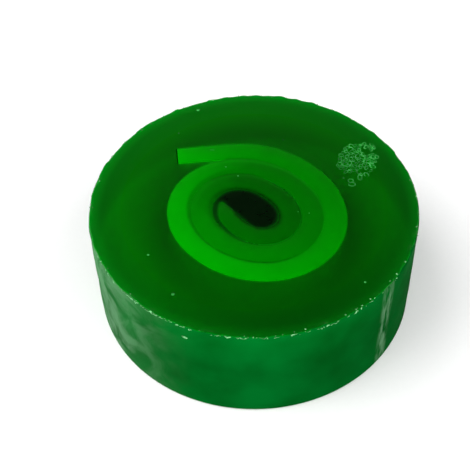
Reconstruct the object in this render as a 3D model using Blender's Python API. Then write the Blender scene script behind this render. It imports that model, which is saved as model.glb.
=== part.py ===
"""Shaving soap puck: a slice of clear soap with a rolled sheet of opaque soap cast inside it.

Metres, +Z up. The puck stands on its bottom cut face and its own axis is the Z axis.
"""

import math

import bmesh
import bpy
from mathutils import Vector

# ---------------------------------------------------------------- driving sizes
PUCK_DIAMETER = 0.070
PUCK_HEIGHT = 0.0256
PUCK_SEGMENTS = 144
RIM_ROUND = 0.0005
RIM_ROUND_SEGMENTS = 2

# Gap left round every piece of soap where another piece is cast against it.
CAST_CLEARANCE = 0.0003

# The sheet is rolled up round a point a little off the puck's axis.
ROLL_CENTRE = Vector((-0.0005, -0.0024))
SHEET_THICKNESS = 0.0045
ROLL_START_RADIUS = 0.0075
ROLL_START_ANGLE = math.radians(154.0)
ROLL_TURNS = 2.861
ROLL_STEPS_PER_TURN = 72
TAIL_LENGTH = 0.0117

# The soft roll was squashed a little, so each turn is longer along one diagonal.
ROLL_SQUASH = 0.00105
ROLL_SQUASH_ANGLE = math.radians(-36.0)

# The inner end of the sheet is pinched to a blunt point.
PINCH_THICKNESS = 0.0008
PINCH_ANGLE = math.radians(34.0)

# Past that point the first turn stands a little clear of the second, so the seam between
# them starts with an open mouth that narrows to nothing.
SEAM_MOUTH = 0.0012
SEAM_MOUTH_ANGLE = math.radians(150.0)

# Narrowest sliver of clear soap that ran in, between the turns or under the tail.
SLIVER = 0.0003

# ---------------------------------------------------------------- the soaps, in linear colour
OPAQUE_GREEN = (0.02, 0.36, 0.012)
CORE_GREEN = (0.002, 0.055, 0.010)
CLEAR_GREEN = (0.004, 0.135, 0.020)
PRESSED_ROUGHNESS = 0.42
CORE_ROUGHNESS = 0.12
CAST_ROUGHNESS = 0.16
CLEAR_TRANSMISSION = 0.6
SOAP_IOR = 1.47

# ---------------------------------------------------------------- derived sizes
FULL_TURN = 2.0 * math.pi
PUCK_RADIUS = PUCK_DIAMETER / 2.0
ROLL_PITCH = SHEET_THICKNESS + CAST_CLEARANCE
ROLL_END_ANGLE = ROLL_START_ANGLE + ROLL_TURNS * FULL_TURN
ROLL_STEP = FULL_TURN / ROLL_STEPS_PER_TURN
SEARCH_STEP = ROLL_STEP / 8.0
OPENING_WANTED = SLIVER + 2.0 * CAST_CLEARANCE
CUTTER_OVERRUN = 0.002
SHARP_EDGE = math.radians(40.0)


# ---------------------------------------------------------------- the spiral
def turn_radius(angle):
    """Radius of the spiral itself. The angle keeps counting up from turn to turn."""
    turns = (angle - ROLL_START_ANGLE) / FULL_TURN
    squash = ROLL_SQUASH * math.cos(2.0 * (angle - ROLL_SQUASH_ANGLE))
    return ROLL_START_RADIUS + ROLL_PITCH * turns + squash


def seam_opening(angle):
    """How far the first turn stands back from the spiral at the mouth of the seam."""
    left = 1.0 - (angle - ROLL_START_ANGLE) / SEAM_MOUTH_ANGLE
    return SEAM_MOUTH * max(0.0, left) ** 2


def outer_radius(angle):
    """Radius of the sheet's outer face."""
    return turn_radius(angle) - seam_opening(angle)


def inner_radius(angle):
    """Radius of the sheet's inner face: one turn back, plus the clearance between turns."""
    full = turn_radius(angle - FULL_TURN) + CAST_CLEARANCE
    along = (angle - ROLL_START_ANGLE) / PINCH_ANGLE
    if along >= 1.0:
        return full
    pinched = outer_radius(angle) - PINCH_THICKNESS
    return pinched + (full - pinched) * math.sin(0.5 * math.pi * along)


def on_roll(radius, angle):
    """The point at this radius and angle round the roll's own centre."""
    return ROLL_CENTRE + radius * Vector((math.cos(angle), math.sin(angle)))


def face_points(radius_at, start, end):
    """Points along a face of the roll from one angle to another, both ends included."""
    steps = max(2, round(abs(end - start) / ROLL_STEP))
    angles = [start + (end - start) * step / steps for step in range(steps + 1)]
    return [on_roll(radius_at(angle), angle) for angle in angles]


def sideways(line, distance):
    """The same line of points moved to its own left."""
    moved = []
    for step, point in enumerate(line):
        before = line[max(step - 1, 0)]
        after = line[min(step + 1, len(line) - 1)]
        ahead = (after - before).normalized()
        moved.append(point + distance * Vector((-ahead.y, ahead.x)))
    return moved


# The tail leaves the roll as a straight strip, along the spiral's direction at its end.
TAIL_OUTER_ROOT = on_roll(outer_radius(ROLL_END_ANGLE), ROLL_END_ANGLE)
LAST_ANGLE = ROLL_END_ANGLE - SEARCH_STEP
LAST_POINT = on_roll(outer_radius(LAST_ANGLE), LAST_ANGLE)
TAIL_DIRECTION = (TAIL_OUTER_ROOT - LAST_POINT).normalized()
TAIL_OUTWARD = Vector((TAIL_DIRECTION.y, -TAIL_DIRECTION.x))
TAIL_OUTER_END = TAIL_OUTER_ROOT + TAIL_LENGTH * TAIL_DIRECTION
TAIL_INNER_END = TAIL_OUTER_END - SHEET_THICKNESS * TAIL_OUTWARD


# ---------------------------------------------------------------- building tools
def clear_scene():
    """Removes whatever the file held before."""
    for found in list(bpy.data.objects):
        bpy.data.objects.remove(found, do_unlink=True)


def soap(name, colour, roughness, transmission=0.0):
    """A Principled material for one of the soaps. Without transmission it is opaque."""
    material = bpy.data.materials.new(name)
    material.use_nodes = True
    shader = material.node_tree.nodes["Principled BSDF"]
    shader.inputs["Base Color"].default_value = (*colour, 1.0)
    shader.inputs["Roughness"].default_value = roughness
    shader.inputs["Metallic"].default_value = 0.0
    shader.inputs["Transmission Weight"].default_value = transmission
    shader.inputs["IOR"].default_value = SOAP_IOR
    return material


def prism(name, outline, bottom, top, material=None):
    """A straight-sided solid standing on an outline that runs anticlockwise seen from above."""
    mesh = bpy.data.meshes.new(name)
    shape = bmesh.new()
    corners = [shape.verts.new((point.x, point.y, bottom)) for point in outline]
    base = shape.faces.new(corners)
    lifted = bmesh.ops.extrude_face_region(shape, geom=[base])
    raised = [item for item in lifted["geom"] if isinstance(item, bmesh.types.BMVert)]
    bmesh.ops.translate(shape, verts=raised, vec=(0.0, 0.0, top - bottom))
    bmesh.ops.recalc_face_normals(shape, faces=shape.faces[:])
    shape.to_mesh(mesh)
    shape.free()
    piece = bpy.data.objects.new(name, mesh)
    bpy.context.scene.collection.objects.link(piece)
    if material is not None:
        mesh.materials.append(material)
    return piece


def shade_round_sides(piece):
    """Smooth across the small steps of a curved wall, sharp at the cut edges."""
    piece.data.shade_smooth()
    piece.data.set_sharp_from_angle(angle=SHARP_EDGE)


clear_scene()

# ---------------------------------------------------------------- rolled sheet
# A sheet of lighter, opaque soap rolled up while warm, its end left lying free as a tail.
sheet_outer_side = face_points(outer_radius, ROLL_START_ANGLE, ROLL_END_ANGLE)
sheet_inner_side = face_points(inner_radius, ROLL_END_ANGLE, ROLL_START_ANGLE)
sheet_outline = sheet_outer_side + [TAIL_OUTER_END, TAIL_INNER_END] + sheet_inner_side
sheet_soap = soap("opaque_soap", OPAQUE_GREEN, PRESSED_ROUGHNESS)
rolled_sheet = prism("rolled_sheet", sheet_outline, 0.0, PUCK_HEIGHT, sheet_soap)
shade_round_sides(rolled_sheet)

# ---------------------------------------------------------------- core fill
# Clear soap that ran into the hollow middle of the roll and the open mouth of the seam.
seam_end = ROLL_START_ANGLE
while SEAM_MOUTH > 0.0 and seam_opening(seam_end) + CAST_CLEARANCE > OPENING_WANTED:
    seam_end += SEARCH_STEP

hollow_wall = face_points(inner_radius, ROLL_START_ANGLE, seam_end + FULL_TURN)
seam_wall = face_points(outer_radius, seam_end, ROLL_START_ANGLE)
pinch_tip = seam_wall[-1] - CAST_CLEARANCE * (seam_wall[-2] - seam_wall[-1]).normalized()
core_outline = sideways(hollow_wall, CAST_CLEARANCE) + sideways(seam_wall, CAST_CLEARANCE)
core_outline.append(pinch_tip)
core_soap = soap("clear_core_soap", CORE_GREEN, CORE_ROUGHNESS, CLEAR_TRANSMISSION)
core_fill = prism("core_fill", core_outline, 0.0, PUCK_HEIGHT, core_soap)
shade_round_sides(core_fill)

# ---------------------------------------------------------------- clear casting
# The clear soap poured round the roll in a tube mould, then sliced flat top and bottom.
rim_turns = [FULL_TURN * step / PUCK_SEGMENTS for step in range(PUCK_SEGMENTS)]
rim_outline = [PUCK_RADIUS * Vector((math.cos(turn), math.sin(turn))) for turn in rim_turns]
casting_soap = soap("clear_soap", CLEAR_GREEN, CAST_ROUGHNESS, CLEAR_TRANSMISSION)
clear_casting = prism("clear_casting", rim_outline, 0.0, PUCK_HEIGHT, casting_soap)

edge_round = clear_casting.modifiers.new("rim_round", "BEVEL")
edge_round.width = RIM_ROUND
edge_round.segments = RIM_ROUND_SEGMENTS
edge_round.limit_method = "ANGLE"
edge_round.angle_limit = SHARP_EDGE


# The wedge under the tail starts where the gap there first holds a sliver and its clearances.
def gap_under_tail(angle):
    face = on_roll(outer_radius(angle), angle)
    return (TAIL_INNER_END - face).dot(TAIL_OUTWARD)


wedge_angle = ROLL_END_ANGLE - FULL_TURN
while gap_under_tail(wedge_angle) < OPENING_WANTED:
    wedge_angle += SEARCH_STEP

roll_face = face_points(outer_radius, wedge_angle, ROLL_END_ANGLE)
wedge_lift = gap_under_tail(wedge_angle) - CAST_CLEARANCE
pocket_outline = sideways(roll_face, -CAST_CLEARANCE)
pocket_outline += [
    TAIL_OUTER_END + CAST_CLEARANCE * (TAIL_OUTWARD + TAIL_DIRECTION),
    TAIL_INNER_END + CAST_CLEARANCE * (TAIL_DIRECTION - TAIL_OUTWARD),
    roll_face[0] + wedge_lift * TAIL_OUTWARD,
]
pocket_top = PUCK_HEIGHT + CUTTER_OVERRUN
pocket = prism("roll_pocket_cutter", pocket_outline, -CUTTER_OVERRUN, pocket_top)
pocket.hide_render = True
pocket.display_type = "WIRE"

cut = clear_casting.modifiers.new("roll_pocket", "BOOLEAN")
cut.operation = "DIFFERENCE"
cut.solver = "EXACT"
cut.object = pocket
shade_round_sides(clear_casting)
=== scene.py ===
"""A round puck of clear green shaving soap with a rolled sheet of lighter soap cast in it."""

import math

import bmesh
import bpy
from mathutils import Matrix, Vector


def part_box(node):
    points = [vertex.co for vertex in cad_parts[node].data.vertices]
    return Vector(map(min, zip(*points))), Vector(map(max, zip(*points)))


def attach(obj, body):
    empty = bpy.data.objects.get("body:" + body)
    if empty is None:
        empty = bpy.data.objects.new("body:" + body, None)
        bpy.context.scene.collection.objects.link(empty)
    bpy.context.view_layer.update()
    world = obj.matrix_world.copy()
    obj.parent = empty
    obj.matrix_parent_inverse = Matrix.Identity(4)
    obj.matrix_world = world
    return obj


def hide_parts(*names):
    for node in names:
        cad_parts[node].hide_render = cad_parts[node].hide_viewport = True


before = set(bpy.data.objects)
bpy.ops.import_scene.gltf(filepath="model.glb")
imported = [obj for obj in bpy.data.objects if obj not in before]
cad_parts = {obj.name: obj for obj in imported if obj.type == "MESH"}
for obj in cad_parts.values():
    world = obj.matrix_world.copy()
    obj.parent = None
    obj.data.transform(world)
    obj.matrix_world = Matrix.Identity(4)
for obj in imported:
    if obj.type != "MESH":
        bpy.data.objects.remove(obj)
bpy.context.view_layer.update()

# ---------------------------------------------------------------------------
# The rolled sheet
# A sheet of lighter, opaque soap, rolled up while it was still warm and soft, then
# stood in the mould. Slicing the log shows it as a spiral with one loose end.
# ---------------------------------------------------------------------------
FULL_TURN = 2.0 * math.pi
puck_low, puck_high = (Vector(corner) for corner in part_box("clear_casting"))
BASE_Z = puck_low.z
TOP_Z = puck_high.z
HEIGHT = TOP_Z - BASE_Z

ROLL_CENTRE = Vector((-0.0005, -0.0024))
SHEET_PITCH = 0.0048
TURN_TOUCH = 0.00001
ROLL_START_RADIUS = 0.0075
ROLL_START_ANGLE = math.radians(154.0)
ROLL_TURNS = 2.861
ROLL_END_ANGLE = ROLL_START_ANGLE + ROLL_TURNS * FULL_TURN
ROLL_SQUASH = 0.00105
ROLL_SQUASH_ANGLE = math.radians(-36.0)
TAIL_LENGTH = 0.0117
TAIL_STEPS = 14
TURN_STEP = math.radians(3.0)
PINCH_WIDTH = 0.0008
PINCH_ANGLE = math.radians(34.0)
SHEET_PROUD = 0.00004
# Where the seam outside the first turn stands open, in degrees wound from the start of the sheet.
SEAM_MOUTH = 0.0012
MOUTH_END = 225.0
MOUTH_TAPER = 1.3
SEAM_GAPE = 0.00036
GAPE_MIDDLE = 245.0
GAPE_SPREAD = 42.0
SEAM_SHUT = 330.0
SHUTTING = 40.0
# The side that faces the window, towards which the roll is painted lighter, how far from the middle it is
# painted fully lit, and how much of a turn is taken up by the painted change of shade from one turn to
# the next.
PAINTED_LIGHT_SIDE = math.radians(222.0)
PAINTED_LIGHT_REACH = 0.017
TURN_SHADE_BLEND = 0.25
# Milky clouds in the pressed soap, and the marks that the wire dragged across its cut edge.
CLOUD_MM = 4.545
DRAG_MARK_MM = 1.111
SOAP_IOR = 1.47
SHARP_ANGLE = math.radians(40.0)


def turn_radius(angle):
    """Where the outside of each turn lies. The angle keeps counting up as the sheet winds."""
    turns = (angle - ROLL_START_ANGLE) / FULL_TURN
    squash = ROLL_SQUASH * math.cos(2.0 * (angle - ROLL_SQUASH_ANGLE))
    return ROLL_START_RADIUS + SHEET_PITCH * turns + squash


def seam_opening(angle):
    """Room left outside the first turn: an open mouth that narrows, then a second slight gape."""
    wound = math.degrees(angle - ROLL_START_ANGLE)
    mouth = SEAM_MOUTH * max(0.0, 1.0 - wound / MOUTH_END) ** MOUTH_TAPER
    gape = SEAM_GAPE * math.exp(-(((wound - GAPE_MIDDLE) / GAPE_SPREAD) ** 2))
    closing = min(1.0, max(0.0, (SEAM_SHUT - wound) / SHUTTING))
    return (mouth + gape) * closing


def outside_radius(angle):
    """The outer face of the sheet."""
    return turn_radius(angle) - seam_opening(angle)


def inside_radius(angle):
    """The inner face of the sheet, which is pinched thin where the roll was started."""
    full = turn_radius(angle - FULL_TURN) + TURN_TOUCH
    along = (angle - ROLL_START_ANGLE) / PINCH_ANGLE
    if along >= 1.0:
        return full
    pinched = outside_radius(angle) - PINCH_WIDTH
    return pinched + (full - pinched) * math.sin(0.5 * math.pi * along)


def on_roll(radius, angle):
    """A point this far from the middle of the roll, seen from above."""
    return ROLL_CENTRE + radius * Vector((math.cos(angle), math.sin(angle)))


def linear(hex_code):
    """An sRGB colour such as 1fa02c, turned linear."""
    channels = [int(hex_code[place:place + 2], 16) / 255.0 for place in (0, 2, 4)]
    return tuple(c / 12.92 if c <= 0.04045 else ((c + 0.055) / 1.055) ** 2.4 for c in channels)


def add(tree, kind, links=None, **settings):
    """One node with its settings. Each input takes a value, a socket, or a node's first output."""
    node = tree.nodes.new(kind)
    for name, value in settings.items():
        setattr(node, name, value)
    for name, value in (links or {}).items():
        if isinstance(value, bpy.types.Node):
            value = next(socket for socket in value.outputs if socket.enabled)
        if isinstance(value, bpy.types.NodeSocket):
            tree.links.new(value, node.inputs[name])
        else:
            node.inputs[name].default_value = value
    return node


def set_ramp(node, *stops):
    """Gives a colour ramp these stops, each a place from 0 to 1 and an sRGB colour."""
    elements = node.color_ramp.elements
    elements.remove(elements[1])
    elements[0].position = stops[0][0]
    elements[0].color = (*linear(stops[0][1]), 1.0)
    for place, code in stops[1:]:
        elements.new(place).color = (*linear(code), 1.0)


def blank_material(name):
    """A material whose node tree is empty, and that tree."""
    made = bpy.data.materials.new(name)
    made.use_nodes = True
    made.node_tree.nodes.clear()
    return made, made.node_tree


def geometry_tree(name, result, inputs):
    """A geometry node tree with these inputs and one result, and those inputs' sockets."""
    made = bpy.data.node_groups.new(name, "GeometryNodeTree")
    for label, kind in inputs.items():
        made.interface.new_socket(label, in_out="INPUT", socket_type="NodeSocket" + kind)
    made.interface.new_socket(result, in_out="OUTPUT", socket_type="NodeSocketGeometry")
    return made, add(made, "NodeGroupInput").outputs


def in_scene(name, data):
    """A new object that shows this mesh, lamp or camera."""
    made = bpy.data.objects.new(name, data)
    bpy.context.scene.collection.objects.link(made)
    return made


def stretch(steps, first, last):
    """Evenly spaced values from first to last, both included."""
    return [first + (last - first) * step / steps for step in range(steps + 1)]


# The middle line of the sheet, with its thickness and how far round it has been wound.
roll_steps = round((ROLL_END_ANGLE - ROLL_START_ANGLE) / TURN_STEP)
spine_points = []
spine_width = []
spine_wound = []
for angle in stretch(roll_steps, ROLL_START_ANGLE, ROLL_END_ANGLE):
    outside = outside_radius(angle)
    inside = inside_radius(angle)
    spine_points.append(on_roll((outside + inside) / 2.0, angle))
    spine_width.append(outside - inside)
    spine_wound.append((angle - ROLL_START_ANGLE) / (ROLL_END_ANGLE - ROLL_START_ANGLE))
tail_top = on_roll(outside_radius(ROLL_END_ANGLE), ROLL_END_ANGLE)
just_before = ROLL_END_ANGLE - 0.01
tail_way = (tail_top - on_roll(outside_radius(just_before), just_before)).normalized()
for run in stretch(TAIL_STEPS, 0.0, TAIL_LENGTH)[1:]:
    spine_points.append(spine_points[roll_steps] + run * tail_way)
    spine_width.append(spine_width[roll_steps])
    spine_wound.append(1.0 + run / TAIL_LENGTH)

spine_mesh = bpy.data.meshes.new("sheet_spine")
spine_mesh.from_pydata([(p.x, p.y, BASE_Z + HEIGHT / 2.0) for p in spine_points],
                       [(i, i + 1) for i in range(len(spine_points) - 1)], [])
for name, values in (("width", spine_width), ("wound", spine_wound)):
    spine_mesh.attributes.new(name, "FLOAT", "POINT").data.foreach_set("value", values)
sheet_raw = in_scene("sheet_raw", spine_mesh)

# Pressed, opaque melt-and-pour soap: white pigment makes it milky, so light soaks in and comes out a
# little way off, and its edges look soft. Its colour also carries painted light and shade: the outer
# turn, which lies in clear soap, is painted lightest, the inner turns darker, the side away from the
# window darker, the upright faces brighter and the first turn darker beside the hollow.
sheet_soap, tree = blank_material("opaque_melt_and_pour_soap")
wound = add(tree, "ShaderNodeAttribute", attribute_name="wound").outputs["Fac"]
place = add(tree, "ShaderNodeTexCoord").outputs["Object"]
halved = add(tree, "ShaderNodeMath", {0: wound, 1: 0.5}, operation="MULTIPLY")
across = add(tree, "ShaderNodeAttribute", attribute_name="across").outputs["Fac"]
squared = add(tree, "ShaderNodeMath", {0: across, 1: across}, operation="MULTIPLY")
cubed = add(tree, "ShaderNodeMath", {0: squared, 1: across}, operation="MULTIPLY")
# Painted shade: the inner turns get darker colours and the outer turn and the tail lighter ones, standing
# in for the light that reaches the outer turn through the clear soap.
spread = add(tree, "ShaderNodeMath", {
    0: cubed, 1: TURN_SHADE_BLEND / ROLL_TURNS, 2: halved}, operation="MULTIPLY_ADD")
painted_turn_shade = add(tree, "ShaderNodeValToRGB", {"Fac": spread})
set_ramp(painted_turn_shade, (0.0, "005600"), (0.15, "005600"), (0.19, "006a00"), (0.32, "006c00"), (0.345, "008200"),
         (0.46, "008200"), (0.52, "008600"), (1.0, "009000"))
# Painted light: the side of the roll towards the window is made lighter and the far side darker.
painted_light_way = Vector((math.cos(PAINTED_LIGHT_SIDE), math.sin(PAINTED_LIGHT_SIDE), 0.0)) / PAINTED_LIGHT_REACH
towards = add(tree, "ShaderNodeVectorMath", {0: place, 1: painted_light_way}, operation="DOT_PRODUCT")
painted_daylight = add(tree, "ShaderNodeMapRange", {
    "Value": towards, "From Min": -1.0, "To Min": 0.62, "To Max": 1.22})
cloud = add(tree, "ShaderNodeTexNoise", {
    "Vector": place, "Scale": 1000.0 / CLOUD_MM, "Detail": 4.0, "Roughness": 0.6})
cloud_mottle = add(tree, "ShaderNodeMapRange", {
    "Value": cloud, "From Min": 0.3, "From Max": 0.7, "To Min": 0.94, "To Max": 1.05})
# Painted light: the sheet's upright faces, seen down through the clear soap, are made up to 2.2 times
# brighter than its top.
facing = add(tree, "ShaderNodeNewGeometry").outputs["Normal"]
tilt = add(tree, "ShaderNodeSeparateXYZ", {"Vector": facing}).outputs["Z"]
lean = add(tree, "ShaderNodeMath", {0: tilt}, operation="ABSOLUTE")
painted_upright_light = add(tree, "ShaderNodeMapRange", {
    "Value": lean, "From Min": 0.5, "From Max": 0.9, "To Min": 2.2, "To Max": 1.0})
cloud_and_painted_daylight = add(tree, "ShaderNodeMath", {0: painted_daylight, 1: cloud_mottle}, operation="MULTIPLY")
# Painted shade: the inner side of the first turn is darkened towards the hollow of the roll.
painted_eye_shade = add(tree, "ShaderNodeMapRange", {
    "Value": across, "From Min": -1.0, "From Max": -0.5, "To Min": 0.22,
    "To Max": 1.0}, interpolation_type="SMOOTHSTEP")
past_eye_shade = add(tree, "ShaderNodeMapRange", {"Value": wound, "From Min": 0.27, "From Max": 0.36})
eye_shade_share = add(tree, "ShaderNodeMath", {0: painted_eye_shade, 1: past_eye_shade}, operation="MAXIMUM")
painted_wall_and_eye = add(tree, "ShaderNodeMath", {0: painted_upright_light, 1: eye_shade_share}, operation="MULTIPLY")
level = add(tree, "ShaderNodeMath", {0: cloud_and_painted_daylight, 1: painted_wall_and_eye}, operation="MULTIPLY")
mottle_and_painted_light = add(tree, "ShaderNodeVectorMath", {0: painted_turn_shade, "Scale": level}, operation="SCALE")
drag = add(tree, "ShaderNodeTexNoise", {"Vector": place, "Scale": 1000.0 / DRAG_MARK_MM, "Detail": 3.0})
dents = add(tree, "ShaderNodeBump", {"Height": drag, "Strength": 0.12, "Distance": 0.0002})
rough = add(tree, "ShaderNodeMapRange", {"Value": cloud, "To Min": 0.42, "To Max": 0.6})
skin = add(tree, "ShaderNodeBsdfPrincipled", {
    "Base Color": mottle_and_painted_light, "Roughness": rough, "Normal": dents, "IOR": SOAP_IOR,
    "Specular IOR Level": 0.04, "Specular Tint": (*linear("10c030"), 1.0),
    "Subsurface Weight": 1.0, "Subsurface Radius": (0.1, 1.0, 0.15), "Subsurface Scale": 0.0030})
add(tree, "ShaderNodeOutputMaterial", {"Surface": skin})

# The sheet is a rounded strip swept along that middle line.
sweep, given = geometry_tree("roll_the_sheet", "Sheet", {
    "Spine": "Geometry", "Strip width": "Float", "Strip height": "Float", "Edge round": "Float",
    "Roll centre": "Vector", "Soap": "Material"})
path = add(sweep, "GeometryNodeMeshToCurve", {"Mesh": given["Spine"]})
upright = add(sweep, "GeometryNodeSetCurveNormal", {"Curve": path}, mode="Z_UP")
middle = add(sweep, "GeometryNodeInputPosition")
marked = add(sweep, "GeometryNodeStoreNamedAttribute", {
    "Geometry": upright, "Name": "middle", "Value": middle}, data_type="FLOAT_VECTOR", domain="POINT")
strip = add(sweep, "GeometryNodeCurvePrimitiveQuadrilateral", {
    "Width": given["Strip width"], "Height": given["Strip height"]}, mode="RECTANGLE")
soft = add(sweep, "GeometryNodeFilletCurve", {
    "Curve": strip, "Radius": given["Edge round"], "Count": 3, "Limit Radius": True}, mode="POLY")
swept = add(sweep, "GeometryNodeCurveToMesh", {"Curve": marked, "Profile Curve": soft, "Fill Caps": True})
here = add(sweep, "GeometryNodeInputPosition")
core = add(sweep, "GeometryNodeInputNamedAttribute", {"Name": "middle"}, data_type="FLOAT_VECTOR")
own = add(sweep, "GeometryNodeInputNamedAttribute", {"Name": "width"}, data_type="FLOAT")
off = add(sweep, "ShaderNodeVectorMath", {0: here, 1: core}, operation="SUBTRACT")
ratio = add(sweep, "ShaderNodeMath", {0: own, 1: given["Strip width"]}, operation="DIVIDE")
flat = add(sweep, "ShaderNodeCombineXYZ", {"X": ratio, "Y": ratio, "Z": 1.0})
thinned = add(sweep, "ShaderNodeVectorMath", {0: off, 1: flat, 2: core}, operation="MULTIPLY_ADD")
outer_way = add(sweep, "ShaderNodeVectorMath", {0: core, 1: given["Roll centre"]}, operation="SUBTRACT")
outer_unit = add(sweep, "ShaderNodeVectorMath", {0: outer_way}, operation="NORMALIZE")
side = add(sweep, "ShaderNodeVectorMath", {0: off, 1: outer_unit}, operation="DOT_PRODUCT")
half = add(sweep, "ShaderNodeMath", {0: given["Strip width"], 1: 0.5}, operation="MULTIPLY")
side_share = add(sweep, "ShaderNodeMath", {0: side, 1: half}, operation="DIVIDE")
sided = add(sweep, "GeometryNodeStoreNamedAttribute", {
    "Geometry": swept, "Name": "across", "Value": side_share}, data_type="FLOAT", domain="POINT")
pressed = add(sweep, "GeometryNodeSetPosition", {"Geometry": sided, "Position": thinned})
skinned = add(sweep, "GeometryNodeSetMaterial", {"Geometry": pressed, "Material": given["Soap"]})
real = add(sweep, "GeometryNodeRealizeInstances", {"Geometry": skinned})
add(sweep, "NodeGroupOutput", {"Sheet": real})


def grow(base, tree, name, **values):
    """Runs a node tree on an object, after its other modifiers, and returns a plain mesh piece."""
    if tree:
        work = base.modifiers.new("work", "NODES")
        work.node_group = tree
        for socket in tree.interface.items_tree:
            if socket.in_out == "INPUT" and socket.name in values:
                work[socket.identifier] = values[socket.name]
    shaped = base.evaluated_get(bpy.context.evaluated_depsgraph_get())
    mesh = bpy.data.meshes.new_from_object(shaped)
    mesh.name = name
    bpy.data.objects.remove(base, do_unlink=True)
    piece = in_scene(name, mesh)
    mesh.shade_smooth()
    mesh.set_sharp_from_angle(angle=SHARP_ANGLE)
    return piece


rolled_sheet = grow(sheet_raw, sweep, "rolled_sheet_soap", **{
    "Strip width": SHEET_PITCH - TURN_TOUCH, "Strip height": HEIGHT, "Edge round": 0.00003,
    "Roll centre": (ROLL_CENTRE.x, ROLL_CENTRE.y, BASE_Z + HEIGHT / 2.0), "Soap": sheet_soap})
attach(rolled_sheet, "root")
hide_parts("rolled_sheet")

# ---------------------------------------------------------------------------
# The clear casting
# Clear melt-and-pour glycerin soap, dyed deep green and poured round the roll in a tube
# mould. The log is pushed out and sliced, so the two faces are cut smooth, and the wall
# keeps a duller skin, rippled where it set against the tube.
# ---------------------------------------------------------------------------
PUCK_RADIUS = puck_high.x
RIM_ROUND = 0.0005
RIM_STEPS = 4
AROUND = 360
WALL_ROWS = 36
HIDDEN_HOLE = 0.004
WELD = 0.000001
GRIP = 0.00008
WEDGE_OPENING = 0.0001
WEDGE_STEP = math.radians(0.25)
CUTTER_OVERRUN = 0.002
CAST_TOP = TOP_Z - SHEET_PROUD
RING_RADII = (PUCK_RADIUS - 3.0 * RIM_ROUND, PUCK_RADIUS - 2.0 * RIM_ROUND)


def prism(name, outline, low, high):
    """A straight-sided solid on an outline that runs anticlockwise."""
    shape = bmesh.new()
    foot = shape.faces.new([shape.verts.new((p.x, p.y, low)) for p in outline])
    lifted = bmesh.ops.extrude_face_region(shape, geom=[foot])
    top = [item for item in lifted["geom"] if isinstance(item, bmesh.types.BMVert)]
    bmesh.ops.translate(shape, verts=top, vec=(0.0, 0.0, high - low))
    bmesh.ops.recalc_face_normals(shape, faces=shape.faces[:])
    mesh = bpy.data.meshes.new(name)
    shape.to_mesh(mesh)
    shape.free()
    return in_scene(name, mesh)


def face_line(radius_at, first, last, shift):
    """Points along one face of the rolled sheet, moved outwards by the shift."""
    steps = max(2, round(abs(last - first) / TURN_STEP))
    return [on_roll(radius_at(angle) + shift, angle) for angle in stretch(steps, first, last)]


def ray(degrees):
    """A level unit vector at this angle round the puck."""
    return Vector((math.cos(math.radians(degrees)), math.sin(math.radians(degrees)), 0.0))


# The body is turned from half of its section. The hole in its middle is lost with the pocket.
# Two rings beside each rim keep its bumps from tilting the flat face.
section = [(r, BASE_Z) for r in (HIDDEN_HOLE, *RING_RADII)]
for turn in stretch(RIM_STEPS, -math.pi / 2.0, 0.0):
    section.append((PUCK_RADIUS - RIM_ROUND + RIM_ROUND * math.cos(turn),
                    BASE_Z + RIM_ROUND + RIM_ROUND * math.sin(turn)))
section += [(PUCK_RADIUS, z) for z in stretch(WALL_ROWS, BASE_Z + RIM_ROUND, CAST_TOP - RIM_ROUND)[1:-1]]
for turn in stretch(RIM_STEPS, 0.0, math.pi / 2.0):
    section.append((PUCK_RADIUS - RIM_ROUND + RIM_ROUND * math.cos(turn),
                    CAST_TOP - RIM_ROUND + RIM_ROUND * math.sin(turn)))
section += [(r, CAST_TOP) for r in (*reversed(RING_RADII), HIDDEN_HOLE)]
shape = bmesh.new()
corners = [shape.verts.new((r, 0.0, z)) for r, z in section]
for here, there in zip(corners, corners[1:] + corners[:1]):
    shape.edges.new((here, there))
bmesh.ops.spin(shape, geom=shape.verts[:] + shape.edges[:], cent=(0.0, 0.0, 0.0), axis=(0.0, 0.0, 1.0),
               angle=FULL_TURN, steps=AROUND, use_merge=True)
bmesh.ops.remove_doubles(shape, verts=shape.verts[:], dist=WELD)
bmesh.ops.recalc_face_normals(shape, faces=shape.faces[:])
casting_mesh = bpy.data.meshes.new("casting_raw")
shape.to_mesh(casting_mesh)
shape.free()
casting_raw = in_scene("casting_raw", casting_mesh)

# The roll's pocket, with the wedge of clear soap under its tail left standing.
tail_out = Vector((tail_way.y, -tail_way.x))
tail_end = tail_top + TAIL_LENGTH * tail_way
tail_low = tail_end - (SHEET_PITCH - TURN_TOUCH) * tail_out
wedge = ROLL_END_ANGLE - FULL_TURN
while (tail_low - on_roll(outside_radius(wedge), wedge)).dot(tail_out) < WEDGE_OPENING:
    wedge += WEDGE_STEP
wedge_point = on_roll(outside_radius(wedge) - GRIP, wedge)
lift = (tail_low - wedge_point).dot(tail_out) + GRIP
pocket_line = face_line(outside_radius, wedge, ROLL_END_ANGLE, -GRIP)
pocket_line.append(tail_end - GRIP * (tail_out + tail_way))
pocket_line.append(tail_low + GRIP * (tail_out - tail_way))
pocket_line.append(wedge_point + lift * tail_out)
pocket = prism("pocket", pocket_line, BASE_Z - CUTTER_OVERRUN, TOP_Z + CUTTER_OVERRUN)
cut = casting_raw.modifiers.new("pocket", "BOOLEAN")
cut.operation = "DIFFERENCE"
cut.solver = "EXACT"
cut.object = pocket

# The sides that the painted light, the painted reflections and the wrinkles turn to, in degrees round the
# puck.
PAINTED_LIGHT_FACE = 115.0
HAZE_REFLECTION_SIDE = 208.0
STREAK_REFLECTION_SIDE = 320.0
WINDOW_SIDE = 235.0
WRINKLED_SIDE = 212.0
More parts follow.
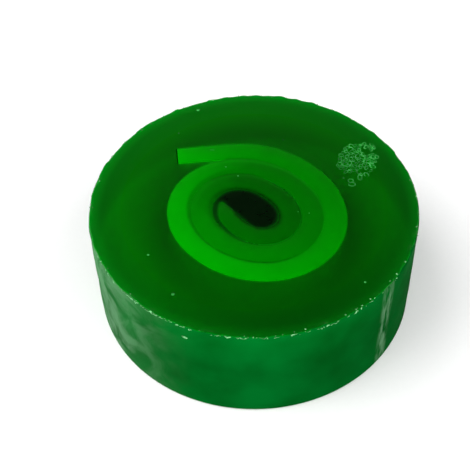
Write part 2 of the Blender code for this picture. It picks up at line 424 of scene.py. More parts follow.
# Spacings of the dents in the surface, the patches of the painted hazy reflection, the bands of tone and
# the painted reflected streak. The real dents are finer than this, and are drawn coarse enough to break
# up the gloss.
GRAIN_MM = 1.667
PATCH_MM = 7.143
BAND_MM = 10.526
STREAK_MM = 0.909
# How far the wall's skin shows in from the rim, and where the painted shade in the clear soap is deepest.
RIM_SKIN_REACH = 0.0030
DEEPEST_SHADE_RADIUS = 0.020

# Seen through its cut face the soap is clear, and its colour carries painted light and shade: darkest
# beside the roll, where the roll's shade falls, and lighter towards the mould wall and the back, where
# light comes in. The wall's skin is thin, dull and bluer, painted darker away from the window and lighter
# towards the top, and it carries painted pale reflections: a wide hazy patch on the left and a narrow
# streak on the right.
clear_soap, tree = blank_material("clear_melt_and_pour_soap")
place = add(tree, "ShaderNodeTexCoord").outputs["Object"]
level_place = add(tree, "ShaderNodeVectorMath", {0: place, 1: (1.0, 1.0, 0.0)}, operation="MULTIPLY")
radius = add(tree, "ShaderNodeVectorMath", {0: level_place}, operation="LENGTH")
around = add(tree, "ShaderNodeVectorMath", {0: level_place}, operation="NORMALIZE")
surface = add(tree, "ShaderNodeNewGeometry").outputs["Normal"]
tilt = add(tree, "ShaderNodeSeparateXYZ", {"Vector": surface}).outputs["Z"]
lean = add(tree, "ShaderNodeMath", {0: tilt}, operation="ABSOLUTE")
upright = add(tree, "ShaderNodeMapRange", {"Value": lean, "From Min": 0.97, "From Max": 0.75})
grain = add(tree, "ShaderNodeTexNoise", {"Vector": place, "Scale": 1000.0 / GRAIN_MM, "Detail": 4.0})
patch = add(tree, "ShaderNodeTexNoise", {
    "Vector": place, "Scale": 1000.0 / PATCH_MM, "Detail": 5.0, "Roughness": 0.55,
    "Distortion": 0.8})
rim_blur = add(tree, "ShaderNodeMapRange", {
    "Value": radius, "From Min": PUCK_RADIUS - RIM_SKIN_REACH, "From Max": PUCK_RADIUS,
    "To Max": 0.10}, interpolation_type="SMOOTHSTEP")
skin_share = add(tree, "ShaderNodeMath", {0: upright, 1: rim_blur}, operation="MAXIMUM")

# Painted shade and light: the cut face is darkest beside the roll, where its shade falls in the soap, and
# lighter towards the mould wall, where light comes in through the wall.
towards_wall = add(tree, "ShaderNodeMapRange", {
    "Value": radius, "From Min": DEEPEST_SHADE_RADIUS, "From Max": PUCK_RADIUS})
cut_light_and_shade = add(tree, "ShaderNodeValToRGB", {"Fac": towards_wall})
set_ramp(cut_light_and_shade, (0.0, "009000"), (0.55, "00ce00"), (1.0, "00c020"))
# Painted light: the cut face is made lighter towards the back, at 115 degrees round the puck.
far_side = add(tree, "ShaderNodeVectorMath", {
    0: place, 1: ray(PAINTED_LIGHT_FACE) / PUCK_RADIUS}, operation="DOT_PRODUCT")
painted_far_light = add(tree, "ShaderNodeMapRange", {
    "Value": far_side, "From Min": -1.0, "To Min": 0.74, "To Max": 1.74})
cut_colour = add(tree, "ShaderNodeVectorMath", {0: cut_light_and_shade, "Scale": painted_far_light}, operation="SCALE")

banding = add(tree, "ShaderNodeTexNoise", {"Vector": place, "Scale": 1000.0 / BAND_MM, "Detail": 3.0})
skin_tone = add(tree, "ShaderNodeValToRGB", {"Fac": banding})
set_ramp(skin_tone, (0.3, "004a12"), (0.7, "005e1e"))

# Painted reflection: a wide pale hazy patch on the left of the wall, where its skin mirrors the bright
# floor.
towards_haze = add(tree, "ShaderNodeVectorMath", {0: around, 1: ray(HAZE_REFLECTION_SIDE)}, operation="DOT_PRODUCT")
haze_fade = add(tree, "ShaderNodeMapRange", {"Value": towards_haze, "From Min": 0.68, "From Max": 1.0})
haze_reach = add(tree, "ShaderNodeMath", {0: haze_fade, 1: 3.4}, operation="POWER")
haze_patch = add(tree, "ShaderNodeMapRange", {
    "Value": patch, "From Min": 0.34, "From Max": 0.66, "To Min": 0.05,
    "To Max": 0.33}, interpolation_type="SMOOTHSTEP")
painted_haze_reflection = add(tree, "ShaderNodeMath", {0: haze_reach, 1: haze_patch}, operation="MULTIPLY")
# Painted reflection: a narrow pale streak on the right of the wall, stretched upright.
towards_streak = add(tree, "ShaderNodeVectorMath", {0: around, 1: ray(STREAK_REFLECTION_SIDE)}, operation="DOT_PRODUCT")
streak_reach = add(tree, "ShaderNodeMapRange", {"Value": towards_streak, "From Min": 0.9982, "From Max": 0.9999})
streaks = add(tree, "ShaderNodeVectorMath", {0: place, 1: (1.0, 1.0, 0.22)}, operation="MULTIPLY")
streak_noise = add(tree, "ShaderNodeTexNoise", {"Vector": streaks, "Scale": 1000.0 / STREAK_MM, "Detail": 3.0})
streak_patch = add(tree, "ShaderNodeMapRange", {
    "Value": streak_noise, "From Min": 0.38, "From Max": 0.64, "To Min": 0.0, "To Max": 0.30})
painted_streak_reflection = add(tree, "ShaderNodeMath", {0: streak_reach, 1: streak_patch}, operation="MULTIPLY")
painted_reflections = add(tree, "ShaderNodeMath", {0: painted_haze_reflection, 1: painted_streak_reflection}, operation="MAXIMUM")
painted_wall_reflection = add(tree, "ShaderNodeMath", {0: painted_reflections, 1: upright}, operation="MULTIPLY")
# Painted light: the wall is darker on the side away from the window; it is also made lighter towards the
# top.
window = add(tree, "ShaderNodeVectorMath", {0: around, 1: ray(WINDOW_SIDE)}, operation="DOT_PRODUCT")
painted_window_light = add(tree, "ShaderNodeMapRange", {
    "Value": window, "From Max": 0.8, "To Min": 0.60, "To Max": 1.0})
height = add(tree, "ShaderNodeSeparateXYZ", {"Vector": place}).outputs["Z"]
raised = add(tree, "ShaderNodeMapRange", {
    "Value": height, "From Min": 0.55 * TOP_Z, "From Max": TOP_Z, "To Min": 0.88, "To Max": 1.2})
painted_wall_level = add(tree, "ShaderNodeMath", {0: painted_window_light, 1: raised}, operation="MULTIPLY")
painted_lit_skin = add(tree, "ShaderNodeVectorMath", {0: skin_tone, "Scale": painted_wall_level}, operation="SCALE")
# The skin's banded colour, with the painted pale reflections mixed over it.
skin_and_painted_reflection = add(tree, "ShaderNodeMix", {
    "Factor": painted_wall_reflection, 6: painted_lit_skin, 7: (*linear("80aa86"), 1.0)}, data_type="RGBA")

hue = add(tree, "ShaderNodeMix", {"Factor": skin_share, 6: cut_colour, 7: skin_and_painted_reflection}, data_type="RGBA")
rough = add(tree, "ShaderNodeMapRange", {"Value": skin_share, "To Min": 0.30, "To Max": 0.5})
clear = add(tree, "ShaderNodeMapRange", {"Value": skin_share, "To Min": 0.92, "To Max": 0.0})
ripple = add(tree, "ShaderNodeBump", {"Height": grain, "Strength": 0.10, "Distance": 0.0002})
body = add(tree, "ShaderNodeBsdfPrincipled", {
    "Base Color": hue, "Roughness": rough, "Normal": ripple, "IOR": SOAP_IOR,
    "Transmission Weight": clear, "Specular IOR Level": 0.001, "Specular Tint": (*linear("08c820"), 1.0)})
dye = add(tree, "ShaderNodeVolumeAbsorption", {"Color": (0.0, 0.90, 0.02, 1.0), "Density": 160.0})
add(tree, "ShaderNodeOutputMaterial", {"Surface": body, "Volume": dye})

# The wall is never a true cylinder: it carries shallow ripples and, on the left, wrinkles.
set_wall, given = geometry_tree("set_against_the_tube", "Body", {
    "Casting": "Geometry", "Radius": "Float", "Skin depth": "Float", "Ripple height": "Float",
    "Ripples per metre": "Float", "Wrinkle height": "Float", "Wrinkles per metre": "Float",
    "Foot": "Float", "Height": "Float", "Bump height": "Float", "Bumps per metre": "Float",
    "Soap": "Material"})
here = add(set_wall, "GeometryNodeInputPosition")
level_here = add(set_wall, "ShaderNodeVectorMath", {0: here, 1: (1.0, 1.0, 0.0)}, operation="MULTIPLY")
out_from = add(set_wall, "ShaderNodeVectorMath", {0: level_here}, operation="LENGTH")
outward = add(set_wall, "ShaderNodeVectorMath", {0: level_here}, operation="NORMALIZE")
inner = add(set_wall, "ShaderNodeMath", {
    0: given["Radius"], 1: given["Skin depth"]}, operation="SUBTRACT")
on_wall = add(set_wall, "ShaderNodeMapRange", {
    "Value": out_from, "From Min": inner, "From Max": given["Radius"]})
ripples = add(set_wall, "ShaderNodeTexNoise", {
    "Vector": here, "Scale": given["Ripples per metre"], "Detail": 2.0})
rippled = add(set_wall, "ShaderNodeMapRange", {
    "Value": ripples, "From Min": 0.25, "From Max": 0.75, "To Min": -1.0})
ripple_out = add(set_wall, "ShaderNodeMath", {
    0: rippled, 1: given["Ripple height"]}, operation="MULTIPLY")
wrinkles = add(set_wall, "ShaderNodeTexNoise", {
    "Vector": here, "Detail": 1.0, "Distortion": 1.5, "Scale": given["Wrinkles per metre"]})
wrinkled = add(set_wall, "ShaderNodeMapRange", {
    "Value": wrinkles, "From Min": 0.4, "From Max": 0.6, "To Min": -1.0})
wrinkle_side = add(set_wall, "ShaderNodeVectorMath", {
    0: outward, 1: ray(WRINKLED_SIDE)}, operation="DOT_PRODUCT")
wrinkle_reach = add(set_wall, "ShaderNodeMapRange", {
    "Value": wrinkle_side, "From Min": 0.86, "From Max": 0.97})
wrinkle_share = add(set_wall, "ShaderNodeMath", {
    0: wrinkle_reach, 1: given["Wrinkle height"]}, operation="MULTIPLY")
both = add(set_wall, "ShaderNodeMath", {
    0: wrinkled, 1: wrinkle_share, 2: ripple_out}, operation="MULTIPLY_ADD")
height = add(set_wall, "ShaderNodeSeparateXYZ", {"Vector": here}).outputs["Z"]
off_foot = add(set_wall, "ShaderNodeMapRange", {"Value": height, "From Max": given["Foot"]})
free = add(set_wall, "ShaderNodeMath", {0: off_foot, 1: on_wall}, operation="MULTIPLY")
push = add(set_wall, "ShaderNodeMath", {0: both, 1: free}, operation="MULTIPLY")
sideways = add(set_wall, "ShaderNodeVectorMath", {0: outward, "Scale": push}, operation="SCALE")
rim_noise = add(set_wall, "ShaderNodeTexNoise", {
    "Vector": here, "Detail": 3.0, "Scale": given["Bumps per metre"]})
bumped = add(set_wall, "ShaderNodeMapRange", {"Value": rim_noise, "From Min": 0.45, "From Max": 0.7})
below_rim = add(set_wall, "ShaderNodeMath", {
    0: given["Height"], 1: given["Skin depth"]}, operation="SUBTRACT")
at_rim = add(set_wall, "ShaderNodeMapRange", {
    "Value": height, "From Min": below_rim, "From Max": given["Height"]})
rim_part = add(set_wall, "ShaderNodeMath", {0: at_rim, 1: on_wall}, operation="MULTIPLY")
rim_height = add(set_wall, "ShaderNodeMath", {0: rim_part, 1: given["Bump height"]}, operation="MULTIPLY")
rim_up = add(set_wall, "ShaderNodeMath", {0: bumped, 1: rim_height}, operation="MULTIPLY")
upwards = add(set_wall, "ShaderNodeCombineXYZ", {"Z": rim_up})
shift = add(set_wall, "ShaderNodeVectorMath", {0: sideways, 1: upwards}, operation="ADD")
moved = add(set_wall, "GeometryNodeSetPosition", {"Geometry": given["Casting"], "Offset": shift})
skinned = add(set_wall, "GeometryNodeSetMaterial", {"Geometry": moved, "Material": given["Soap"]})
real = add(set_wall, "GeometryNodeRealizeInstances", {"Geometry": skinned})
add(set_wall, "NodeGroupOutput", {"Body": real})

# The wall ripples about every 7.7 mm and wrinkles every 6.7 mm, and the rim bumps every 2.4 mm.
clear_casting = grow(casting_raw, set_wall, "clear_casting_soap", **{
    "Radius": PUCK_RADIUS, "Skin depth": 2.0 * RIM_ROUND, "Ripple height": 0.00009,
    "Ripples per metre": 130.0, "Wrinkle height": 0.00009, "Wrinkles per metre": 150.0, "Foot": 0.006,
    "Height": CAST_TOP, "Bump height": 0.0006, "Bumps per metre": 420.0, "Soap": clear_soap})
bpy.data.objects.remove(pocket, do_unlink=True)
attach(clear_casting, "root")
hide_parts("clear_casting")

# ---------------------------------------------------------------------------
# The core fill
# The clear soap that ran into the hollow of the roll, and a thin fin of it in the open
# mouth of the seam. Light reaches it from above only, and it is given a painted shaded copy of the clear
# soap, nearly black.
# ---------------------------------------------------------------------------
SEAM_FILLED = math.radians(325.0)

# The same clear soap as a painted shaded copy, darker in colour and dye: black green in the middle, and a
# painted glow makes it greener against the roll.
shaded_core_soap, tree = blank_material("shaded_clear_soap")
place = add(tree, "ShaderNodeTexCoord").outputs["Object"]
grain = add(tree, "ShaderNodeTexNoise", {"Vector": place, "Scale": 1000.0 / GRAIN_MM, "Detail": 4.0})
ripple = add(tree, "ShaderNodeBump", {"Height": grain, "Strength": 0.10, "Distance": 0.0002})
rough = add(tree, "ShaderNodeMapRange", {"Value": grain, "To Min": 0.22, "To Max": 0.36})
# Painted glow and shade: close to the roll's walls the soap is greener and less clear, and in the middle
# of the hollow it is darker.
inward = add(tree, "ShaderNodeAmbientOcclusion", {
    "Distance": 0.0010}, inside=True, only_local=True, samples=8).outputs["AO"]
depth = add(tree, "ShaderNodeMapRange", {"Value": inward, "From Min": 0.45, "From Max": 1.0})
deep = add(tree, "ShaderNodeValToRGB", {"Fac": depth})
set_ramp(deep, (0.0, "006a06"), (1.0, "014c0a"))
clear = add(tree, "ShaderNodeMapRange", {"Value": depth, "To Min": 0.60, "To Max": 0.97})
body = add(tree, "ShaderNodeBsdfPrincipled", {
    "Base Color": deep, "Roughness": rough, "Normal": ripple, "IOR": SOAP_IOR,
    "Transmission Weight": clear, "Specular IOR Level": 0.001, "Specular Tint": (*linear("08c820"), 1.0)})
dye = add(tree, "ShaderNodeVolumeAbsorption", {"Color": (0.0, 0.25, 0.04, 1.0), "Density": 420.0})
add(tree, "ShaderNodeOutputMaterial", {"Surface": body, "Volume": dye})

seam_last = ROLL_START_ANGLE + SEAM_FILLED
hollow_line = face_line(inside_radius, ROLL_START_ANGLE, seam_last + FULL_TURN, GRIP)
seam_line = face_line(outside_radius, seam_last, ROLL_START_ANGLE, -GRIP)
core_raw = prism("core_raw", hollow_line + seam_line, BASE_Z, CAST_TOP)
core_raw.data.materials.append(shaded_core_soap)
core_fill = grow(core_raw, None, "core_fill_soap")
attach(core_fill, "root")
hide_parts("core_fill")

# ---------------------------------------------------------------------------
# The torn rim
# The wire that sliced the log tore the hard skin along the edge. It left a thin broken
# burr, heaviest towards the front, with loose crumbs of soap stuck beside it.
# ---------------------------------------------------------------------------
TORN_SIDE = 262.0
RIM_POINTS = 1800
CRUMB_PLACES = 520
CRUMB_CHANCE = 0.58
# The real grain of torn soap is finer than a crumb, and is drawn coarser so that it shows.
TORN_GRAIN_MM = 0.714

# Torn soap dries first: it turns pale and matt, and its uneven tone makes the edge look crumbly.
crumb_soap, tree = blank_material("torn_dry_soap")
place = add(tree, "ShaderNodeTexCoord").outputs["Object"]
grain = add(tree, "ShaderNodeTexNoise", {"Vector": place, "Scale": 1000.0 / TORN_GRAIN_MM, "Detail": 2.0})
dry = add(tree, "ShaderNodeValToRGB", {"Fac": grain})
set_ramp(dry, (0.35, "0c6418"), (0.65, "78c484"))
rough = add(tree, "ShaderNodeMapRange", {"Value": grain, "To Min": 0.25, "To Max": 0.6})
flake = add(tree, "ShaderNodeBsdfPrincipled", {
    "Base Color": dry, "Roughness": rough, "IOR": SOAP_IOR, "Specular IOR Level": 0.5})
add(tree, "ShaderNodeOutputMaterial", {"Surface": flake})

tear, given = geometry_tree("tear_the_rim", "Burr", {
    "Flakes": "Geometry", "Radius": "Float", "Height": "Float", "Thickness": "Float",
    "Tears per metre": "Float", "Bare share": "Float", "Front share": "Float", "Stray": "Float",
    "Crumb size": "Float", "Seed": "Int", "Soap": "Material"})
lifted = add(tear, "ShaderNodeCombineXYZ", {"Z": given["Height"]})
here = add(tear, "GeometryNodeInputPosition")
front = add(tear, "ShaderNodeVectorMath", {0: here, 1: ray(TORN_SIDE)}, operation="DOT_PRODUCT")
front_part = add(tear, "ShaderNodeMath", {0: front, 1: given["Radius"]}, operation="DIVIDE")
torn = add(tear, "ShaderNodeTexNoise", {
    "Vector": here, "Scale": given["Tears per metre"], "Detail": 3.0, "Roughness": 0.7})
leaning = add(tear, "ShaderNodeMath", {
    0: front_part, 1: given["Front share"], 2: torn}, operation="MULTIPLY_ADD")
above = add(tear, "ShaderNodeMath", {0: leaning, 1: given["Bare share"]}, operation="SUBTRACT")
bare = add(tear, "FunctionNodeCompare", {"A": above, "B": 0.0}, operation="LESS_THAN")
thick = add(tear, "ShaderNodeMapRange", {"Value": above, "From Max": 0.14, "To Min": 0.25, "To Max": 1.0})
scaled = add(tear, "ShaderNodeMath", {0: thick, 1: given["Thickness"]}, operation="MULTIPLY")
# The burr runs round the rim and breaks off where the edge was cut clean.
edge = add(tear, "GeometryNodeMeshCircle", {
    "Vertices": RIM_POINTS, "Radius": given["Radius"]}, fill_type="NONE")
left_on = add(tear, "GeometryNodeDeleteGeometry", {"Geometry": edge, "Selection": bare}, domain="POINT")
strands = add(tear, "GeometryNodeMeshToCurve", {"Mesh": left_on})
jitter = add(tear, "ShaderNodeTexNoise", {"Vector": here, "Scale": 1500.0, "Detail": 2.0})
centred = add(tear, "ShaderNodeVectorMath", {
    0: jitter.outputs["Color"], 1: (0.5, 0.5, 0.5)}, operation="SUBTRACT")
strayed = add(tear, "ShaderNodeVectorMath", {0: centred, "Scale": given["Stray"]}, operation="SCALE")
raised = add(tear, "ShaderNodeVectorMath", {0: strayed, 1: lifted}, operation="ADD")
ragged = add(tear, "GeometryNodeSetPosition", {"Geometry": strands, "Offset": raised})
thread = add(tear, "GeometryNodeCurvePrimitiveCircle", {"Resolution": 5, "Radius": 1.0})
burr = add(tear, "GeometryNodeCurveToMesh", {
    "Curve": ragged, "Fill Caps": True, "Profile Curve": thread, "Scale": scaled})
# Crumbs lie just inside it, more of them where it is heavy.
inset = add(tear, "ShaderNodeMath", {0: given["Radius"], 1: given["Crumb size"]}, operation="SUBTRACT")
places = add(tear, "GeometryNodeCurvePrimitiveCircle", {"Resolution": CRUMB_PLACES, "Radius": inset})
chance = add(tear, "FunctionNodeRandomValue", {"Seed": given["Seed"]}, data_type="FLOAT")
crumb_here = add(tear, "ShaderNodeMath", {0: above, 1: chance}, operation="ADD")
enough = add(tear, "FunctionNodeCompare", {"A": crumb_here, "B": CRUMB_CHANCE}, operation="GREATER_THAN")
spot = add(tear, "GeometryNodeMeshIcoSphere", {"Radius": 1.0, "Subdivisions": 1})
drift = add(tear, "FunctionNodeRandomValue", {
    "Min": (-0.00025, -0.00025, -0.00025), "Max": (0.00025, 0.00025, 0.00010),
    "Seed": given["Seed"]}, data_type="FLOAT_VECTOR")
drift_up = add(tear, "ShaderNodeVectorMath", {0: drift, 1: lifted}, operation="ADD")
points = add(tear, "GeometryNodeSetPosition", {"Geometry": places, "Offset": drift_up})
turned = add(tear, "FunctionNodeRandomValue", {
    "Max": (6.3, 6.3, 6.3), "Seed": given["Seed"]}, data_type="FLOAT_VECTOR")
squat = add(tear, "FunctionNodeRandomValue", {
    "Min": (0.3, 0.3, 0.25), "Max": (1.0, 1.0, 0.6), "Seed": given["Seed"]}, data_type="FLOAT_VECTOR")
sized = add(tear, "ShaderNodeVectorMath", {0: squat, "Scale": given["Crumb size"]}, operation="SCALE")
crumbs = add(tear, "GeometryNodeInstanceOnPoints", {
    "Points": points, "Selection": enough, "Instance": spot, "Rotation": turned, "Scale": sized})
flake_turn = add(tear, "GeometryNodeInputNamedAttribute", {"Name": "turn"}, data_type="FLOAT_VECTOR")
flake_size = add(tear, "ShaderNodeVectorMath", {
    0: (2.2, 0.6, 0.8), "Scale": given["Crumb size"]}, operation="SCALE")
flakes = add(tear, "GeometryNodeInstanceOnPoints", {
    "Points": given["Flakes"], "Instance": spot, "Rotation": flake_turn, "Scale": flake_size})
joined = add(tear, "GeometryNodeJoinGeometry")
for shown in (flakes, burr, crumbs):
    tear.links.new(shown.outputs[0], joined.inputs[0])
real = add(tear, "GeometryNodeRealizeInstances", {"Geometry": joined})
skinned = add(tear, "GeometryNodeSetMaterial", {"Geometry": real, "Material": given["Soap"]})
add(tear, "NodeGroupOutput", {"Burr": skinned})


def blank(name, points):
    """An object with no faces for a node tree to work on."""
    mesh = bpy.data.meshes.new(name)
    mesh.from_pydata(points, [], [])
    return in_scene(name, mesh)


# A flake that the wire flicked on to the wall: the angle round the puck, and the height above its foot.
WALL_FLAKES = ((247.0, 0.0224),)
flakes_raw = blank("flakes_raw", [PUCK_RADIUS * ray(degrees) + Vector((0.0, 0.0, z))
                                  for degrees, z in WALL_FLAKES])
flakes_raw.data.attributes.new("turn", "FLOAT_VECTOR", "POINT").data.foreach_set(
    "vector", [part for degrees, z in WALL_FLAKES for part in (0.0, 0.2, math.radians(degrees + 90.0))])
# The edge tears about every 2.4 mm, and its strands stray from the line about every 0.7 mm.
rim_burr = grow(flakes_raw, tear, "torn_rim_burr", **{
    "Radius": PUCK_RADIUS - 0.3 * RIM_ROUND, "Height": CAST_TOP - 0.25 * RIM_ROUND, "Thickness": 0.00017,
    "Tears per metre": 420.0, "Bare share": 0.56, "Front share": 0.12, "Stray": 0.0012,
    "Crumb size": 0.00034, "Seed": 7, "Soap": crumb_soap})
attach(rim_burr, "root")

# ---------------------------------------------------------------------------
# The froth and the bubbles
# Air stirred into the hot soap rose and set just under the cut. The wire opened a patch
# of fine froth, which dried to a lace of thin rings, and some single bubbles round it.
# ---------------------------------------------------------------------------
PALE_END = 35.0
DENSEST = 8000000.0
# Dried film is thick and thin in spots about this far apart.
FILM_MM = 0.909

# Dried film is thin and a little shiny, so the rings catch light as a fine pale green lace.
froth_soap, tree = blank_material("dried_soap_froth")
place = add(tree, "ShaderNodeTexCoord").outputs["Object"]
grain = add(tree, "ShaderNodeTexNoise", {"Vector": place, "Scale": 1000.0 / FILM_MM, "Detail": 2.0})
wet = add(tree, "ShaderNodeValToRGB", {"Fac": grain})
set_ramp(wet, (0.35, "0c5c16"), (0.68, "3ca44c"))
pale_end = add(tree, "ShaderNodeVectorMath", {0: place, 1: ray(PALE_END)}, operation="DOT_PRODUCT")
pale = add(tree, "ShaderNodeMapRange", {
    "Value": pale_end, "From Min": 0.022, "From Max": 0.030, "To Min": 1.0, "To Max": 2.0})
dried = add(tree, "ShaderNodeVectorMath", {0: wet, "Scale": pale}, operation="SCALE")
rough = add(tree, "ShaderNodeMapRange", {"Value": grain, "To Min": 0.2, "To Max": 0.5})
film = add(tree, "ShaderNodeBsdfPrincipled", {
    "Base Color": dried, "Roughness": rough, "IOR": SOAP_IOR, "Specular IOR Level": 0.5,
    "Specular Tint": (*linear("60e080"), 1.0)})
add(tree, "ShaderNodeOutputMaterial", {"Surface": film})

froth, given = geometry_tree("set_the_froth", "Froth", {
    "Singles": "Geometry", "Patch place": "Vector", "Patch size": "Vector", "Patch turn": "Vector",
    "Ring spacing": "Float", "Ring size": "Float", "Film share": "Float", "Seed": "Int",
    "Soap": "Material"})
disc = add(froth, "GeometryNodeMeshCircle", {"Vertices": 32, "Radius": 0.5}, fill_type="NGON")
area = add(froth, "GeometryNodeTransform", {
    "Geometry": disc, "Translation": given["Patch place"], "Rotation": given["Patch turn"],
    "Scale": given["Patch size"]})
here = add(froth, "GeometryNodeInputPosition")
# The rings stand in clumps about 2.6 mm apart.
clumps = add(froth, "ShaderNodeTexNoise", {"Vector": here, "Scale": 380.0, "Detail": 2.0})
off_middle = add(froth, "ShaderNodeVectorMath", {0: here, 1: given["Patch place"]}, operation="DISTANCE")
thinning = add(froth, "ShaderNodeMath", {0: off_middle, 1: -60.0, 2: clumps}, operation="MULTIPLY_ADD")
foamy = add(froth, "FunctionNodeCompare", {"A": thinning, "B": 0.20}, operation="GREATER_THAN")
scatter = add(froth, "GeometryNodeDistributePointsOnFaces", {
    "Mesh": area, "Distance Min": given["Ring spacing"], "Density Max": DENSEST,
    "Seed": given["Seed"]}, distribute_method="POISSON")
loop = add(froth, "GeometryNodeCurvePrimitiveCircle", {"Resolution": 10, "Radius": 1.0})
wall = add(froth, "GeometryNodeCurvePrimitiveCircle", {"Resolution": 4, "Radius": given["Film share"]})
ring = add(froth, "GeometryNodeCurveToMesh", {"Curve": loop, "Profile Curve": wall})
spin = add(froth, "FunctionNodeRandomValue", {
    "Min": (-0.2, -0.2, 0.0), "Max": (0.2, 0.2, 6.3), "Seed": given["Seed"]}, data_type="FLOAT_VECTOR")
oval = add(froth, "FunctionNodeRandomValue", {
    "Min": (0.4, 0.35, 0.5), "Max": (1.5, 0.9, 0.8), "Seed": given["Seed"]}, data_type="FLOAT_VECTOR")
ring_size = add(froth, "ShaderNodeVectorMath", {0: oval, "Scale": given["Ring size"]}, operation="SCALE")
rings = add(froth, "GeometryNodeInstanceOnPoints", {
    "Points": scatter, "Selection": foamy, "Instance": ring, "Rotation": spin, "Scale": ring_size})
dome = add(froth, "GeometryNodeMeshIcoSphere", {"Radius": 1.0, "Subdivisions": 2})
wide = add(froth, "GeometryNodeInputNamedAttribute", {"Name": "wide"}, data_type="FLOAT_VECTOR")
opened = add(froth, "GeometryNodeInputNamedAttribute", {"Name": "opened"}, data_type="BOOLEAN")
whole = add(froth, "FunctionNodeBooleanMath", {0: opened}, operation="NOT")
domes = add(froth, "GeometryNodeInstanceOnPoints", {
    "Points": given["Singles"], "Selection": whole, "Instance": dome, "Scale": wide})
curls = add(froth, "GeometryNodeInstanceOnPoints", {
    "Points": given["Singles"], "Selection": opened, "Instance": ring, "Scale": wide})
joined = add(froth, "GeometryNodeJoinGeometry")
for shown in (rings, domes, curls):
    froth.links.new(shown.outputs[0], joined.inputs[0])
real = add(froth, "GeometryNodeRealizeInstances", {"Geometry": joined})
skinned = add(froth, "GeometryNodeSetMaterial", {"Geometry": real, "Material": given["Soap"]})
add(froth, "NodeGroupOutput", {"Froth": skinned})

# Single bubbles: where each lies on the cut face, and its half depth and half width, in mm.
SINGLES = ((-21.6, -13.9, 0.22, 0.26), (-16.1, -24.1, 0.34, 0.36), (22.0, -21.5, 0.24, 0.24),
           (-12.6, 29.9, 0.36, 0.42), (-6.0, 11.2, 0.18, 0.18), (-3.3, 8.4, 0.18, 0.20),
           (9.4, -2.4, 0.14, 0.14), (11.7, -2.8, 0.14, 0.16), (-9.1, 16.6, 0.10, 0.60),
           (-16.8, 22.2, 0.14, 0.16), (6.8, 19.6, 0.12, 0.24), (19.6, 7.4, 0.20, 0.20),
           (21.1, 6.6, 0.50, 0.60), (21.3, 5.5, 0.54, 0.74))
# The last two were cut open by the wire and are left as curls of film.
OPENED = 2
singles_raw = blank("singles_raw", [(x / 1000.0, y / 1000.0, TOP_Z) for x, y, deep, wide in SINGLES])
singles_raw.data.attributes.new("wide", "FLOAT_VECTOR", "POINT").data.foreach_set(
    "vector", [side / 1000.0 for x, y, deep, wide in SINGLES for side in (wide, deep, 0.4 * deep)])
singles_raw.data.attributes.new("opened", "BOOLEAN", "POINT").data.foreach_set(
    "value", [number >= len(SINGLES) - OPENED for number in range(len(SINGLES))])
bubbles = grow(singles_raw, froth, "froth_and_bubbles", **{
    "Patch place": (0.0230, 0.0128, TOP_Z), "Patch size": (0.0080, 0.0130, 1.0),
    "Patch turn": (0.0, 0.0, math.radians(-22.0)), "Ring spacing": 0.00060, "Ring size": 0.00052,
    "Film share": 0.13, "Seed": 3, "Soap": froth_soap})
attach(bubbles, "root")

# ---------------------------------------------------------------------------
# The floor, the light and the camera
# A sheet of white paper under three large soft lamps. The camera looks down on the front
# of the puck from a little over half way up.
# ---------------------------------------------------------------------------
FLOOR_REACH = 0.6
FLOOR_GAP = 0.0001
# Paper fibres are far finer than this, and are drawn coarse enough to show at all.
FIBRE_MM = 1.111
floor_mesh = bpy.data.meshes.new("floor")
floor_mesh.from_pydata([(x * FLOOR_REACH, y * FLOOR_REACH, 0.0)
                        for x, y in ((-1, -1), (1, -1), (1, 1), (-1, 1))], [], [(0, 1, 2, 3)])
floor = in_scene("floor", floor_mesh)
floor.location.z = BASE_Z - FLOOR_GAP
# Matt white paper with a faint fibre, so that the puck stands on nothing but its own soft shadow.
paper, tree = blank_material("white_paper_sweep")
place = add(tree, "ShaderNodeTexCoord").outputs["Object"]
fibre = add(tree, "ShaderNodeTexNoise", {"Vector": place, "Scale": 1000.0 / FIBRE_MM, "Detail": 4.0})
white = add(tree, "ShaderNodeMapRange", {"Value": fibre, "To Min": 0.925, "To Max": 0.955})
matt = add(tree, "ShaderNodeMapRange", {"Value": fibre, "To Min": 0.85, "To Max": 0.95})
sheet = add(tree, "ShaderNodeBsdfPrincipled", {"Base Color": white, "Roughness": matt})
add(tree, "ShaderNodeOutputMaterial", {"Surface": sheet})
floor_mesh.materials.append(paper)

LAMPS_AIM = Vector((0.0, 0.0, 0.01))


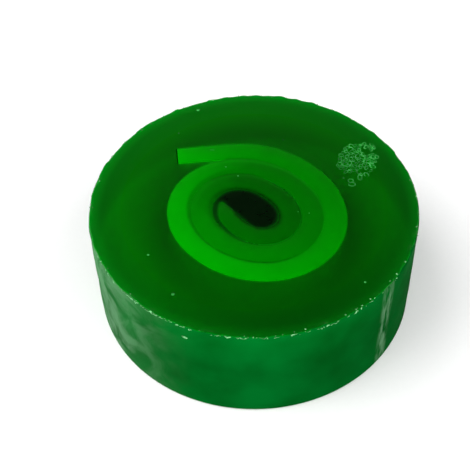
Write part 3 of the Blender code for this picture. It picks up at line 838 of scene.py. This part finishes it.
def softbox(name, where, size, power):
    """A rectangular lamp that points at the puck and that no soap mirrors."""
    lamp = bpy.data.lights.new(name, "AREA")
    lamp.shape = "RECTANGLE"
    lamp.size = size[0]
    lamp.size_y = size[1]
    lamp.energy = power
    box = in_scene(name, lamp)
    box.location = where
    box.rotation_euler = (LAMPS_AIM - Vector(where)).to_track_quat("-Z", "Y").to_euler()
    box.visible_glossy = False


softbox("left_softbox", (-0.60, -0.05, 0.55), (1.0, 1.2), 10.8)
softbox("right_softbox", (0.65, -0.30, 0.50), (0.8, 1.0), 6.6)
softbox("front_fill", (0.0, -0.9, 0.45), (0.9, 0.5), 3.5)

# Pale low surroundings, and a dark ceiling that the cut face can mirror without turning milky.
world = bpy.data.worlds.new("studio_air")
bpy.context.scene.world = world
world.use_nodes = True
tree = world.node_tree
way = add(tree, "ShaderNodeTexCoord").outputs["Generated"]
rise = add(tree, "ShaderNodeSeparateXYZ", {"Vector": way}).outputs["Z"]
level = add(tree, "ShaderNodeMapRange", {
    "Value": rise, "From Min": 0.25, "From Max": 0.55, "To Min": 1.3,
    "To Max": 0.02}, interpolation_type="SMOOTHSTEP")
tree.links.new(level.outputs[0], tree.nodes["Background"].inputs["Strength"])
tree.nodes["Background"].inputs["Color"].default_value = (1.0, 1.0, 1.0, 1.0)

LENS_MM = 79.6596
SENSOR_MM = 36.0
CAMERA_DISTANCE = 0.22874
CAMERA_UP = math.radians(48.766)
CAMERA_ROUND = math.radians(1.5645)
CAMERA_TILT = math.radians(-1.744)
CAMERA_AIM = Vector((-0.004134, 0.0, TOP_Z - 0.009944))
lens = bpy.data.cameras.new("camera")
lens.sensor_width = SENSOR_MM
lens.lens = LENS_MM
camera = in_scene("camera", lens)
level_back = Vector((math.sin(CAMERA_ROUND), -math.cos(CAMERA_ROUND), 0.0))
back = math.cos(CAMERA_UP) * level_back + Vector((0.0, 0.0, math.sin(CAMERA_UP)))
right = Vector((math.cos(CAMERA_ROUND), math.sin(CAMERA_ROUND), 0.0))
facing = Matrix((right, back.cross(right), back)).transposed().to_4x4()
camera.matrix_world = (Matrix.Translation(CAMERA_AIM + CAMERA_DISTANCE * back) @ facing
                       @ Matrix.Rotation(CAMERA_TILT, 4, "Z"))
bpy.context.scene.camera = camera
bpy.context.scene.view_settings.view_transform = "Standard"
